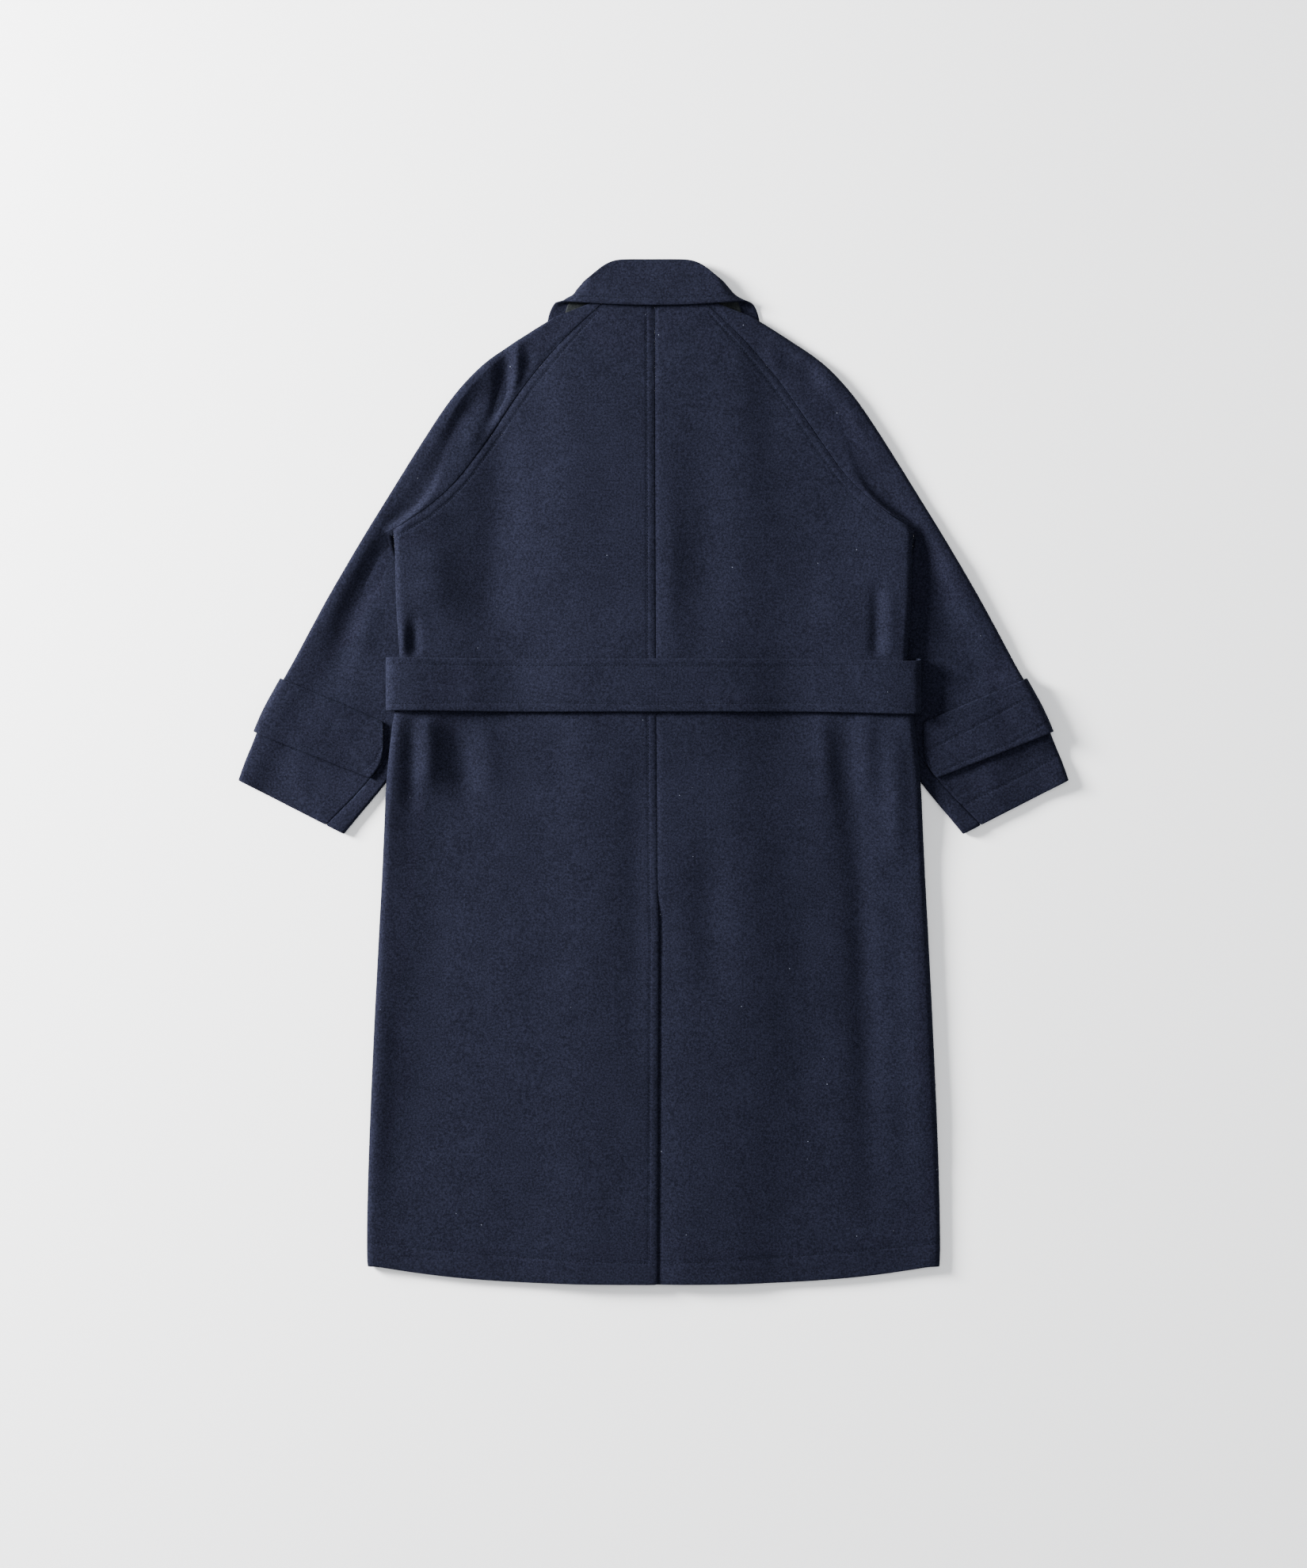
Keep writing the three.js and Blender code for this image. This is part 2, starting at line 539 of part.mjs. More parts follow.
function sleeveTopRow(u, side) {
  const section = sleeveSection(u);
  const outer = [];
  const inner = [];
  for (const d of topColumns(section, side)) {
    const z = sleeveTop(section, d, side);
    outer.push(sleevePoint(section, d, z, side));
    inner.push(sleevePoint(section, d, z - CLOTH, side));
  }
  for (const angle of SLEEVE_ANGLES) {
    const fold = sleeveFoldPoint(section, side, angle, "outer");
    outer.push(fold.point);
    inner.push(fold.back);
  }
  const bottomEnd = u > UNDERARM_SECTION
    ? section.width - undersleeveReach(u) - HALF_GAP
    : section.width * sleeveColumn(u, "under", 1) - HALF_GAP * 2;
  for (const d of bottomColumns(Math.max(bottomEnd, SLEEVE_FOLD_RADIUS + 3), u)) {
    const z = sleeveBottom(section, d, side);
    outer.push(sleevePoint(section, d, z, side));
    inner.push(sleevePoint(section, d, z + CLOTH, side));
  }
  return { outer, inner };
}

function sleeveTopPanel(side) {
  const rows = SLEEVE_ROWS.map((u) => sleeveTopRow(u, side));
  return wall(rows.map((row) => row.outer), rows.map((row) => row.inner));
}

function sleeveUnderRow(u, side) {
  const section = sleeveSection(u);
  const seam = section.width - undersleeveReach(u) + HALF_GAP;
  const edge = section.width - UNDERSLEEVE_FOLD_RADIUS;
  const outer = [];
  const inner = [];
  for (const share of [0, 0.5, 1]) {
    const d = mix(seam, edge, share);
    const z = sleeveTop(section, d, side);
    outer.push(sleevePoint(section, d, z, side));
    inner.push(sleevePoint(section, d, z - CLOTH, side));
  }
  for (const angle of SLEEVE_ANGLES) {
    const fold = sleeveFoldPoint(section, side, angle, "inner");
    outer.push(fold.point);
    inner.push(fold.back);
  }
  for (const share of [1, 0.5, 0]) {
    const d = mix(seam, edge, share);
    const z = sleeveBottom(section, d, side);
    outer.push(sleevePoint(section, d, z, side));
    inner.push(sleevePoint(section, d, z + CLOTH, side));
  }
  return { outer, inner };
}

function sleeveUnderPanel(side) {
  const rows = SLEEVE_ROWS.filter((u) => u >= UNDERSLEEVE_START).map((u) => sleeveUnderRow(u, side));
  return wall(rows.map((row) => row.outer), rows.map((row) => row.inner));
}

// The strap is a little wider at the outer fold than at the seam
const strapU = (across, share) => mix(
  mix(STRAP_SPAN.from, STRAP_SPAN.from + 0.12, share), mix(STRAP_SPAN.to, STRAP_SPAN.to - 0.12, share), across);

// Cuff straps lie on the sleeve, so they are made from its points, moved out
function cuffStrap(side) {
  const rows = [0, 0.25, 0.5, 0.75, 1].map((across) => {
    const row = [];
    for (const share of TOP_SHARES) {
      const section = sleeveSection(strapU(across, share));
      const seam = section.width - undersleeveReach(section.u) - HALF_GAP;
      const end = Math.min(seam, (section.outer.x - STRAP_INNER_X) / -section.direction.x);
      const d = Math.min(mix(SLEEVE_FOLD_RADIUS, seam, share), mix(SLEEVE_FOLD_RADIUS, end, 0.9 + share / 10));
      row.push(sleevePoint(section, d, sleeveTop(section, d, side), side));
    }
    const section = sleeveSection(strapU(across, 0));
    for (const angle of SLEEVE_ANGLES) {
      row.push(sleeveFoldPoint(section, side, angle, "outer").point);
    }
    for (const d of [SLEEVE_FOLD_RADIUS, STRAP_UNDER_REACH / 2, STRAP_UNDER_REACH]) {
      row.push(sleevePoint(section, d, sleeveBottom(section, d, side), side));
    }
    return row;
  });
  const normals = gridNormals(rows, side);
  return wall(moved(rows, normals, STRAP_CLEARANCE + DOUBLED_CLOTH), moved(rows, normals, STRAP_CLEARANCE));
}

// Collar: the fall is the outer layer, and the stand lies inside it from the fold line to the neck seam
const COLLAR_COLUMNS = [0, 0.25, 0.5, 0.75, 1];
const COLLAR_STEPS = 2;
const STAND_DEPTH = CLOTH + 0.6;
const STAND_CLOTH = 1.8;

const collarCurve = (end) => new THREE.CatmullRomCurve3(
  COLLAR_STATIONS.map((station) => new THREE.Vector3(...station[end])), false, "centripetal");

// Two grids of one collar piece, at depths from and to under the outer side of the fall
function collarPiece(startShare, reachOf, fromDepth, toDepth) {
  const last = COLLAR_STATIONS.length - 1;
  const fold = collarCurve("fold");
  const edge = collarCurve("edge");
  const half = Array.from({ length: COLLAR_STEPS * last + 1 }, (_, i) => {
    const u = i / COLLAR_STEPS;
    const near = COLLAR_STATIONS[Math.floor(u)];
    const next = COLLAR_STATIONS[Math.ceil(u)];
    const between = (of) => mix(of(near), of(next), u - Math.floor(u));
    const [from, to] = [fold.getPoint(u / last), edge.getPoint(u / last)];
    return COLLAR_COLUMNS.map((share) => {
      const along = mix(startShare, between(reachOf), share);
      const turn = THREE.MathUtils.degToRad(mix(between((s) => s.foldTurn), between((s) => s.edgeTurn), along));
      const facing = COLLAR_SIDE_FACING.clone().multiplyScalar(Math.cos(turn)).setZ(Math.sin(turn));
      const point = from.clone().lerp(to, along);
      return { point: point.setZ(Math.max(0, point.z)), facing };
    });
  });
  const layer = (depth) => {
    const rows = half.map((row) => row.map(({ point, facing }) => point.clone().addScaledVector(facing, -depth)));
    rows[0].forEach((p) => p.setX(0));
    const mirrored = rows.slice(1).map((row) => row.map((p) => new THREE.Vector3(-p.x, p.y, p.z))).reverse();
    return [...mirrored, ...rows];
  };
  return wall(layer(fromDepth), layer(toDepth));
}

const collarFall = () => collarPiece(0, () => 1, 0, CLOTH);
const collarStand = () => collarPiece(0.04, (station) => station.stand, STAND_DEPTH, STAND_DEPTH + STAND_CLOTH);

// The belt passes over the back, round both sides and under the fronts, where its ends overlap
const BELT_SIDE_RADIUS = 13;
const BELT_REACH = BELT_HALF_LENGTH - BELT_SIDE_RADIUS;
const BELT_BACK_STEPS = 20;
const BELT_SIDE_ANGLES = [60, 30, 0, -30, -60].map(THREE.MathUtils.degToRad);
const BELT_CLEARANCE = 0.9;
const BELT_BRIDGE = 10;
const BELT_SIDE_STOPS = frontColumns(BELT_Y - BELT_HALF_WIDTH).slice(FRONT_CENTRE_COLUMNS.length + 1);
const BELT_FRONT_STOPS = [BELT_REACH, ...BELT_SIDE_STOPS.reverse(), ...BELT_END_STEPS, -BELT_END_OVERLAP];

// Height of the belt's outer side over the back, which bridges what lies close beside each point
function beltBackHeight(x) {
  const shares = [-1, -0.5, 0, 0.5, 1];
  const heights = shares.flatMap((across) => shares.map((along) => (
    backHeight(x + along * BELT_BRIDGE, BELT_Y + across * BELT_HALF_WIDTH))));
  return Math.max(...heights) + BELT_CLEARANCE + DOUBLED_CLOTH;
}

// Stations along the belt: x, how far the station is on the back, and the height of its outer side at a given y
function beltPath() {
  const over = Array.from({ length: BELT_BACK_STEPS + 1 }, (_, i) => {
    const x = mix(-BELT_REACH, BELT_REACH, i / BELT_BACK_STEPS);
    return { x, onBack: 1, height: () => beltBackHeight(x) };
  });
  const round = (side) => BELT_SIDE_ANGLES.map((angle) => ({
    x: side * (BELT_REACH + BELT_SIDE_RADIUS * Math.cos(angle)),
    onBack: (Math.sin(angle) + 1) / 2,
    height: (y) => mix(sleeveLift(BELT_REACH, y), beltBackHeight(side * BELT_REACH), (Math.sin(angle) + 1) / 2),
  }));
  const under = (side) => BELT_FRONT_STOPS.map((x) => ({
    x: side * x,
    onBack: 0,
    height: (y) => sleeveLift(x, y) + (side < 0 ? BELT_LIFT * step(75, 51, x) : 0),
  }));
  return [...under(-1).reverse(), ...round(-1).reverse(), ...over, ...round(1), ...under(1)];
}

// The right end of the belt hangs a little lower on the back
const beltCentre = (x, onBack) => BELT_Y + onBack * (-1.5 - 3 * step(180, 320, x) + 1.5 * step(-150, -320, x));

function belt() {
  const path = beltPath();
  const rows = [-BELT_HALF_WIDTH, BELT_HALF_WIDTH].map((across) => path.map((station) => {
    const y = beltCentre(station.x, station.onBack) + across;
    return new THREE.Vector3(station.x, y, station.height(y));
  }));
  const normals = gridNormals(rows, -1);
  return wall(rows, moved(rows, normals, -DOUBLED_CLOTH));
}

// Plain buttons with a shallow rim, face down on the outer front
function button() {
  const half = BUTTON_THICKNESS / 2;
  const profile = [
    [0, -half + 0.7], [BUTTON_RADIUS - 3.2, -half + 0.7], [BUTTON_RADIUS - 2.4, -half], [BUTTON_RADIUS - 0.8, -half],
    [BUTTON_RADIUS, -half + 0.8], [BUTTON_RADIUS - 0.6, half], [0, half],
  ].map(([r, z]) => new THREE.Vector2(r, z));
  const lathe = new THREE.LatheGeometry(profile, 14);
  lathe.rotateX(Math.PI / 2);
  lathe.deleteAttribute("normal");
  lathe.deleteAttribute("uv");
  return mergeVertices(lathe, 1e-4);
}

// The coat
const coat = new THREE.Group();
const materials = {
  cloth: new THREE.MeshStandardMaterial({ color: COLOURS.cloth, roughness: 0.95, metalness: 0 }),
  underside: new THREE.MeshStandardMaterial({ color: COLOURS.underside, roughness: 0.95, metalness: 0 }),
  button: new THREE.MeshStandardMaterial({ color: COLOURS.button, roughness: 0.4, metalness: 0 }),
};

function add(name, geometry, material = materials.cloth) {
  const mesh = new THREE.Mesh(geometry, material);
  mesh.name = name;
  coat.add(mesh);
  return mesh;
}

for (const [name, side] of [["left", -1], ["right", 1]]) {
  add(`back_${name}`, back(side));
  add(`front_${name}`, front(side));
  add(`sleeve_top_${name}`, sleeveTopPanel(side));
  add(`sleeve_under_${name}`, sleeveUnderPanel(side));
  add(`cuff_strap_${name}`, cuffStrap(side));
}
add("collar_fall", collarFall());
add("collar_stand", collarStand(), materials.underside);
add("belt", belt());

let buttonNumber = 0;
for (const y of BUTTON_ROWS_Y) {
  for (const x of [-BUTTON_X, BUTTON_X]) {
    buttonNumber += 1;
    add(`button_${buttonNumber}`, button(), materials.button).position.set(x, y, BUTTON_THICKNESS / 2);
  }
}

export default coat;
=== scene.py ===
import math
import random

import bmesh
import bpy
import numpy as np
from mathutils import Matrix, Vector
from mathutils.bvhtree import BVHTree


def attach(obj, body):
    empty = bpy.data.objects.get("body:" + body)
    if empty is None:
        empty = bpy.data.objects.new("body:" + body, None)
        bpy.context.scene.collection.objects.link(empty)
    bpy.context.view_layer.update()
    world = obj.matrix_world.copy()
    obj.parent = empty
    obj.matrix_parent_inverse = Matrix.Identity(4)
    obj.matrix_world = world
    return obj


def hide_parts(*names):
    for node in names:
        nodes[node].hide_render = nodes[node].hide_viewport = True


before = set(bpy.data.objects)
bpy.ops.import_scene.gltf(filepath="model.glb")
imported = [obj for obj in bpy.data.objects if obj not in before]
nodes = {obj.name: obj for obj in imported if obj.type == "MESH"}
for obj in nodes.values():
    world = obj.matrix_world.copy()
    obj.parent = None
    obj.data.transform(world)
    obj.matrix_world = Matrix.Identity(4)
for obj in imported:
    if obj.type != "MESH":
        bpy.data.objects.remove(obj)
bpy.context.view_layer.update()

# Sizes are in metres, those of creases, seams and stitches in millimetres.
# X runs across the coat, Y from the hem to the collar, Z up from the floor.
MM = 0.001
BODY = "root"


# Shaping tools
def smooth_step(low, high, value):
    share = np.clip((value - low) / (high - low), 0, 1)
    return share * share * (3 - 2 * share)


def bump(distance, width):
    return np.exp(-(distance / width) ** 2)


def polyline_distance(x, y, points):
    """Distance to a line of points, the sign of the side (right of its direction is +) and the share along it."""
    best = np.full(x.shape, 1e9)
    side = np.zeros(x.shape)
    along = np.zeros(x.shape)
    lengths = [math.dist(a, b) for a, b in zip(points, points[1:])]
    total = sum(lengths)
    done = 0.0
    for (ax, ay), (bx, by), length in zip(points, points[1:], lengths):
        ux, uy = (bx - ax) / length, (by - ay) / length
        t = np.clip((x - ax) * ux + (y - ay) * uy, 0, length)
        dx, dy = x - (ax + ux * t), y - (ay + uy * t)
        distance = np.hypot(dx, dy)
        nearer = distance < best
        best = np.where(nearer, distance, best)
        side = np.where(nearer, np.sign(dx * uy - dy * ux), side)
        along = np.where(nearer, (done + t) / total, along)
        done += length
    return best, side, along


def line_relief(x, y, points, depth, width, fade):
    """A soft trough (negative depth) or ridge along a line of points, fading out at both ends."""
    distance, _, along = polyline_distance(x, y, points)
    ends = smooth_step(0, fade, along) * smooth_step(1, 1 - fade, along)
    return depth * bump(distance, width) * ends


def soft_noise(x, y, size, seed):
    """Smooth uneven relief between -1 and 1, from waves in several directions."""
    rng = random.Random(seed)
    total = np.zeros(x.shape)
    for _ in range(7):
        angle = rng.uniform(0, math.tau)
        scale = math.tau / (size * rng.uniform(0.7, 1.5))
        phase = rng.uniform(0, math.tau)
        total += np.sin((x * math.cos(angle) + y * math.sin(angle)) * scale + phase)
    return total / 4


# Cloth panels: each is its CAD solid with softened edges, finer, and with its creases pressed in
SAME_POINT = 1e-5
PAIR_BEND, PAIR_SHAPE = math.radians(50), math.radians(60)
EDGE_ANGLE = math.radians(55)
EDGE_CREASE, STRAP_EDGE_CREASE = 0.8, 0.94


def soft_copy(name, levels, crease):
    source = nodes[name]
    mesh = source.data.copy()
    mesh.name = name + "_cloth"
    bm = bmesh.new()
    bm.from_mesh(mesh)
    bmesh.ops.remove_doubles(bm, verts=bm.verts, dist=SAME_POINT)
    bmesh.ops.join_triangles(bm, faces=bm.faces, cmp_seam=False, cmp_sharp=False, cmp_uvs=False,
                             cmp_vcols=False, cmp_materials=False, angle_face_threshold=PAIR_BEND,
                             angle_shape_threshold=PAIR_SHAPE)
    layer = bm.edges.layers.float.get("crease_edge") or bm.edges.layers.float.new("crease_edge")
    for edge in bm.edges:
        if len(edge.link_faces) == 2 and edge.calc_face_angle(0) > EDGE_ANGLE:
            edge[layer] = crease
    bm.to_mesh(mesh)
    bm.free()
    piece = bpy.data.objects.new(name + "_cloth", mesh)
    bpy.context.scene.collection.objects.link(piece)
    finer = piece.modifiers.new("finer", "SUBSURF")
    finer.levels = finer.render_levels = levels
    finer.boundary_smooth = "PRESERVE_CORNERS"
    graph = bpy.context.evaluated_depsgraph_get()
    fine = bpy.data.meshes.new_from_object(piece.evaluated_get(graph))
    piece.modifiers.clear()
    piece.data = fine
    rows = rows_on(name)
    if rows:
        bm = bmesh.new()
        bm.from_mesh(fine)
        for points in rows:
            cut_along(bm, points, ROW_CUTS)
        bm.to_mesh(fine)
        bm.free()
    fine.polygons.foreach_set("use_smooth", [True] * len(fine.polygons))
    return piece


def read_points(piece):
    points = np.empty(len(piece.data.vertices) * 3)
    piece.data.vertices.foreach_get("co", points)
    normals = np.empty(len(piece.data.vertices) * 3)
    piece.data.vertices.foreach_get("normal", normals)
    return points.reshape(-1, 3), normals.reshape(-1, 3)


def write_points(piece, points):
    piece.data.vertices.foreach_set("co", points.ravel())
    piece.data.update()


# Places read from the photograph, which is 1650 by 1980 pixels: the coat's middle pixel and the size of one pixel
PHOTO_HEIGHT = 1980
PHOTO_MIDDLE_X, PHOTO_MIDDLE_Y, PIXEL_MM = 825.0, 974.5, 0.94


def at_pixel(px, py):
    """The place in millimetres of a pixel of the photograph."""
    return ((px - PHOTO_MIDDLE_X) * PIXEL_MM, (PHOTO_MIDDLE_Y - py) * PIXEL_MM)


def at_pixels(pixels):
    return [at_pixel(px, py) for px, py in pixels]


# Creases of each part as photographed: pixels along the line, height (negative for a trough) and half width in mm
BACK_CREASES = [
    ([(626, 470), (634, 600), (628, 740), (622, 822)], -3.0, 26),
    ([(546, 676), (549, 790)], 3.0, 26),
    ([(704, 540), (706, 780)], 1.4, 38),
    ([(522, 768), (523, 850)], -3.4, 7),
    ([(508, 780), (507, 850)], 1.8, 8),
    ([(884, 470), (892, 680), (890, 870)], -2.6, 32),
    ([(846, 560), (845, 850)], 1.0, 14),
    ([(1108, 715), (1106, 870)], -3.2, 8),
    ([(1122, 730), (1123, 860)], 2.0, 10),
    ([(962, 560), (966, 800)], 1.5, 42),
    ([(1050, 700), (1046, 820)], 1.6, 22),
    ([(522, 880), (520, 960), (518, 1050)], -2.6, 10),
    ([(540, 880), (541, 1010)], 3.4, 12),
    ([(566, 870), (578, 955), (598, 1050)], -2.5, 15),
    ([(608, 895), (624, 1010)], 2.2, 16),
    ([(640, 960), (655, 1300), (650, 1580)], 1.8, 40),
    ([(700, 900), (712, 1040)], -1.5, 18),
    ([(806, 900), (803, 1400)], -1.6, 20),
    ([(560, 1040), (540, 1300), (520, 1580)], -1.4, 34),
    ([(1052, 860), (1070, 990), (1087, 1100), (1096, 1320), (1100, 1600)], -3.4, 17),
    ([(1036, 870), (1048, 1030)], 2.4, 13),
    ([(1089, 870), (1096, 1030)], 2.4, 12),
    ([(1128, 895), (1134, 1110)], 3.0, 13),
    ([(896, 1020), (902, 1290)], -2.4, 22),
    ([(950, 900), (965, 1200), (975, 1590)], 1.8, 38),
    ([(1012, 960), (1022, 1560)], -1.2, 32),
    ([(1150, 1060), (1166, 1570)], 2.0, 15),
    ([(486, 1200), (470, 1580)], 2.0, 14),
]
SLEEVE_CREASES = [
    ([(653, 420), (650, 515)], 3.6, 6),
    ([(643, 415), (634, 495), (616, 580)], -5.6, 10),
    ([(668, 424), (664, 505)], -1.6, 8),
    ([(604, 520), (590, 575)], 2.0, 12),
    ([(536, 560), (486, 690), (436, 800), (404, 890)], -3.0, 20),
    ([(470, 730), (452, 850)], 2.2, 14),
    ([(500, 600), (420, 760), (366, 856)], 1.6, 16),
    ([(926, 415), (948, 452)], -2.4, 9),
    ([(962, 430), (986, 476)], 1.8, 12),
    ([(1010, 450), (1036, 500)], -1.8, 11),
    ([(1102, 560), (1160, 690), (1200, 800), (1236, 880)], -2.6, 18),
    ([(1160, 620), (1230, 770), (1276, 856)], 1.8, 18),
    ([(360, 950), (400, 1030)], 1.2, 14),
    ([(1250, 960), (1262, 1030)], 1.2, 14),
]
CENTRE_BACK_SEAM = [(826.4, 372), (828, 830), (829, 1000), (830, 1120), (832, 1160), (830, 1624)]
RAGLAN_SEAM_LEFT = [(745, 400), (702, 437), (663, 484), (619, 548), (583, 600), (562, 622), (536, 645),
                    (496, 669)]
RAGLAN_SEAM_RIGHT = [(902, 390), (948, 437), (987, 484), (1031, 548), (1067, 600), (1088, 622), (1114, 645),
                     (1155, 670)]
CREASE_DEPTH = 1.15
BACK_FADE, SLEEVE_FADE = 0.38, 0.42
BELT_MIDDLE_MM, BELT_HALF_MM = 102.5, 31.5


# Rows of stitches as photographed: the pieces that they lie on and the pixels along the row
STITCH_ROWS = [
    (("back_left",), [(816, 392), (817.5, 830), (818.5, 1000), (819.5, 1120), (821, 1165), (819, 1592)]),
    (("back_left",), [(756, 392), (712, 441), (672, 490), (628, 554), (591, 606), (569, 630), (541, 654),
                      (499, 679)]),
    (("back_right",), [(892, 392), (938, 441), (978, 490), (1022, 554), (1059, 606), (1081, 630), (1109, 655),
                       (1152, 680)]),
    (("back_left", "back_right"), [(464, 1570), (574, 1581), (674, 1589), (773, 1594), (826, 1595)]),
    (("back_right",), [(835, 1595), (877, 1594), (976, 1589), (1076, 1581), (1186, 1570)]),
    (("belt",), [(492, 837.5), (600, 840), (825, 841.5), (1000, 841), (1100, 839), (1150, 845)]),
    (("belt",), [(492, 889), (600, 886.5), (825, 889.5), (1000, 887.5), (1100, 888.5), (1150, 896)]),
    (("cuff_strap_left",), [(338, 876), (361, 884), (423, 917), (482, 942), (474, 960), (460, 972), (414, 954),
                            (368, 936), (332, 913)]),
    (("cuff_strap_right",), [(1312, 884), (1291, 884), (1250, 907), (1168, 950), (1176, 968), (1190, 973),
                             (1234, 954), (1280, 936), (1322, 912)]),
    (("sleeve_top_left",), [(310, 953), (351, 976), (426, 1014), (446, 1024)]),
    (("sleeve_top_right",), [(1203, 1024), (1222, 1014), (1298, 976), (1338, 953)]),
    (("collar_fall",), [(712, 383), (728, 374), (760, 375.5), (825, 376.5), (890, 375.5), (924, 373), (940, 383)]),
]
ROW_CUTS = (-2.0, 0.0, 2.0)
CUT_PAST_ENDS, CUT_BAND = 6, 16
GROOVE_DEPTH, GROOVE_WIDTH = 0.55, 1.7


def rows_on(name):
    return [at_pixels(pixels) for names, pixels in STITCH_ROWS if name in names]


def cut_along(bm, points, offsets):
    """Adds edges beside a line of points, in millimetres, so that a narrow trough can follow it."""
    for (ax, ay), (bx, by) in zip(points, points[1:]):
        length = math.hypot(bx - ax, by - ay)
        ux, uy = (bx - ax) / length, (by - ay) / length
        near = []
        for face in bm.faces:
            centre = face.calc_center_median() / MM
            along = (centre.x - ax) * ux + (centre.y - ay) * uy
            across = (centre.x - ax) * uy - (centre.y - ay) * ux
            if -CUT_PAST_ENDS < along < length + CUT_PAST_ENDS and abs(across) < CUT_BAND:
                near.append(face)
        for offset in offsets:
            near = [face for face in near if face.is_valid]
            edges = {edge for face in near for edge in face.edges}
            verts = {vert for face in near for vert in face.verts}
            normal = Vector((uy, -ux, 0))
            place = Vector((ax, ay, 0)) * MM + normal * offset * MM
            made = bmesh.ops.bisect_plane(bm, geom=[*verts, *edges, *near], plane_co=place, plane_no=normal,
                                          dist=SAME_POINT)
            near = list({*[face for face in near if face.is_valid],
                         *[item for item in made["geom"] if isinstance(item, bmesh.types.BMFace)]})


def grooves(x, y, rows):
    total = np.zeros(x.shape)
    for points in rows:
        total -= GROOVE_DEPTH * bump(polyline_distance(x, y, points)[0], GROOVE_WIDTH)
    return total


def creases(x, y, table, fade):
    total = np.zeros(x.shape)
    for pixels, depth, width in table:
        total += line_relief(x, y, at_pixels(pixels), depth * CREASE_DEPTH, width, fade)
    return total


# Pressed seams: depth and half width. The cloth beside them is calmer: the share held back and the half width
CENTRE_PRESS, RAGLAN_PRESS = (0.9, 3.5), (0.7, 3)
CENTRE_CALM, RAGLAN_CALM = (0.6, 14), (0.4, 12)
# Creases start and are full at these distances from the belt's edge and the raglan seam, and at these heights Y
BELT_FREE, RAGLAN_FREE, HEM_FREE = (-6, 14), (2, 14), (-612, -560)
HEM_SHARE = 0.35
# Uneven relief: height, size and the seed of its waves
BACK_UNEVEN = ((0.7, 170, 3), (0.25, 48, 4))
SLEEVE_UNEVEN = ((0.6, 110, 7), (0.25, 36, 8))
SMALL_UNEVEN = ((0.35, 60, 11), (0.15, 22, 12))


def uneven(x, y, table):
    return sum(height * soft_noise(x, y, size, seed) for height, size, seed in table)


def raglan_distance(x, y):
    return np.minimum(polyline_distance(x, y, at_pixels(RAGLAN_SEAM_LEFT))[0],
                      polyline_distance(x, y, at_pixels(RAGLAN_SEAM_RIGHT))[0])


def beside(distance, amount, width):
    return amount * bump(distance, width)


def back_relief(x, y):
    free = smooth_step(*BELT_FREE, np.abs(y - BELT_MIDDLE_MM) - BELT_HALF_MM)
    hem = smooth_step(*HEM_FREE, y)
    centre = polyline_distance(x, y, at_pixels(CENTRE_BACK_SEAM))[0]
    raglan = raglan_distance(x, y)
    pressed = -beside(centre, *CENTRE_PRESS) - beside(raglan, *RAGLAN_PRESS)
    calm = 1 - beside(centre, *CENTRE_CALM) - beside(raglan, *RAGLAN_CALM)
    soft = creases(x, y, BACK_CREASES, BACK_FADE) + uneven(x, y, BACK_UNEVEN)
    return soft * free * calm * (HEM_SHARE + (1 - HEM_SHARE) * hem) + pressed * free


def sleeve_relief(x, y):
    raglan = raglan_distance(x, y)
    soft = creases(x, y, SLEEVE_CREASES, SLEEVE_FADE) + uneven(x, y, SLEEVE_UNEVEN)
    return soft * smooth_step(*RAGLAN_FREE, raglan) - beside(raglan, *RAGLAN_PRESS)


def small_relief(x, y):
    return uneven(x, y, SMALL_UNEVEN)


UNDERARM_X, UNDERARM_Y, UNDERARM_REACH, UNDERARM_PULL = 310.0, 274.0, 13.0, 7.0


def close_underarm(piece):
    """Draws the sleeve's seam in under the side of the body, where the three panels meet."""
    points, _ = read_points(piece)
    mm = points / MM
    near = bump(np.hypot(np.abs(mm[:, 0]) - UNDERARM_X, mm[:, 1] - UNDERARM_Y), UNDERARM_REACH)
    mm[:, 0] -= np.sign(mm[:, 0]) * UNDERARM_PULL * near
    write_points(piece, mm * MM)


# Relief starts and is full at these heights above the floor, and stitches lie only where the cloth faces up
RELIEF_FROM, BACK_RELIEF_FULL, RELIEF_FULL = 3, 5, 6
UPPER_FACING = 0.3


def shape_upper(piece, name, relief, low, high):
    """Presses relief into what lies between low and high, in mm above the floor, fading in from low."""
    points, normals = read_points(piece)
    mm = points / MM
    share = smooth_step(low, high, mm[:, 2])
    upper = normals[:, 2] > UPPER_FACING
    x, y = mm[:, 0], mm[:, 1]
    mm[:, 2] += relief(x, y) * share + grooves(x, y, rows_on(name)) * share * upper
    mm[:, 2] = np.maximum(mm[:, 2], 0)
    write_points(piece, mm * MM)


# Materials. Noises: scale, detail and roughness
FIBRE_NOISE, CLOUD_NOISE = (430, 7, 0.8), (34, 5, 0.6)
TUFT_NOISE, RARE_NOISE = (260, 5, 0.7), (23, 1, 0.6)
FIBRE_SHARE, TUFT_SHARE = 0.9, 0.55
DYE_FROM, DYE_TO, DYE_DARK = 0.42, 0.62, 0.72
WOOL_ROUGHNESS, WOOL_SPECULAR = 0.92, 0.05
SHEEN_ROUGHNESS, SHEEN_TINT = 0.42, (0.42, 0.5, 0.78, 1)
LINT_SCALE, LINT_SIZE, LINT_RARITY, LINT_COLOUR = 62, 0.035, 0.6, (0.10, 0.11, 0.14, 1)
NAP_HEIGHT = 0.0006
HORN_ROUGHNESS = 0.32
VEIN_SCALE, VEIN_DETAIL, VEIN_DISTORTION = 90, 4, 2.2
